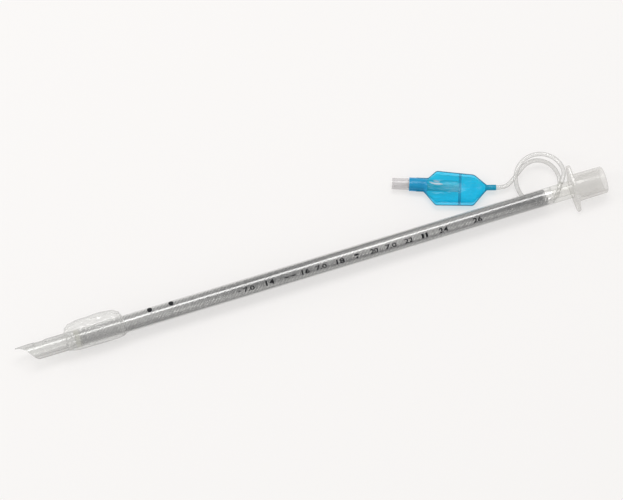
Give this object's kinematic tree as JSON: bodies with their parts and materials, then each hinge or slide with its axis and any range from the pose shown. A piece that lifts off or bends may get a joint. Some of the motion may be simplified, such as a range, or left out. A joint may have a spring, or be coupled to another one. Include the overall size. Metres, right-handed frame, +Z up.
{
  "type": "endotracheal tube",
  "caption": "Straight wire-reinforced breathing tube with a bevelled soft tip, cuff, 15 mm cone connector, inflation line and pilot balloon with check valve.",
  "frame": {"origin": "on the table under the middle of the tube, at the bottom centre of the box of everything but the inflation line and what is on it", "axes": "+X along the tube from the bevelled patient tip to the machine end, +Y to the side where the inflation line lies, +Z up from the table"},
  "size_m": [0.34, 0.0507, 0.0171],
  "materials": {
    "clear_wall": "clear soft PVC, glossy",
    "spring_steel": "bright drawn steel wire",
    "cuff_film": "thin clear film, finely creased",
    "clear_moulding": "clear rigid moulding, glossy",
    "line_tubing": "clear soft tubing",
    "blue_film": "clear blue welded film, glossy",
    "valve_plastic": "translucent white, satin",
    "plunger_plastic": "white, satin",
    "seal_rubber": "soft matte"
  },
  "bodies": {
    "tube": {"tube_shaft": "clear_wall", "reinforcing_coil": "spring_steel", "flex_tip": "clear_wall", "cuff": "cuff_film", "connector": "clear_moulding", "inflation_line": "line_tubing", "pilot_balloon": "blue_film", "valve_body": "valve_plastic", "valve_tail": "valve_plastic", "valve_spring": "spring_steel"},
    "plunger": {"valve_plunger": "plunger_plastic", "valve_seal": "seal_rubber"}
  },
  "joints": [
    {"name": "plunger_slide", "type": "slide", "parent": "tube", "child": "plunger", "axis": [0.9357, -0.3528, 0], "range_m": [0, 0.0015], "stiffness_N_per_m": 300, "springref_m": -0.002, "deforming": ["valve_spring"]}
  ]
}
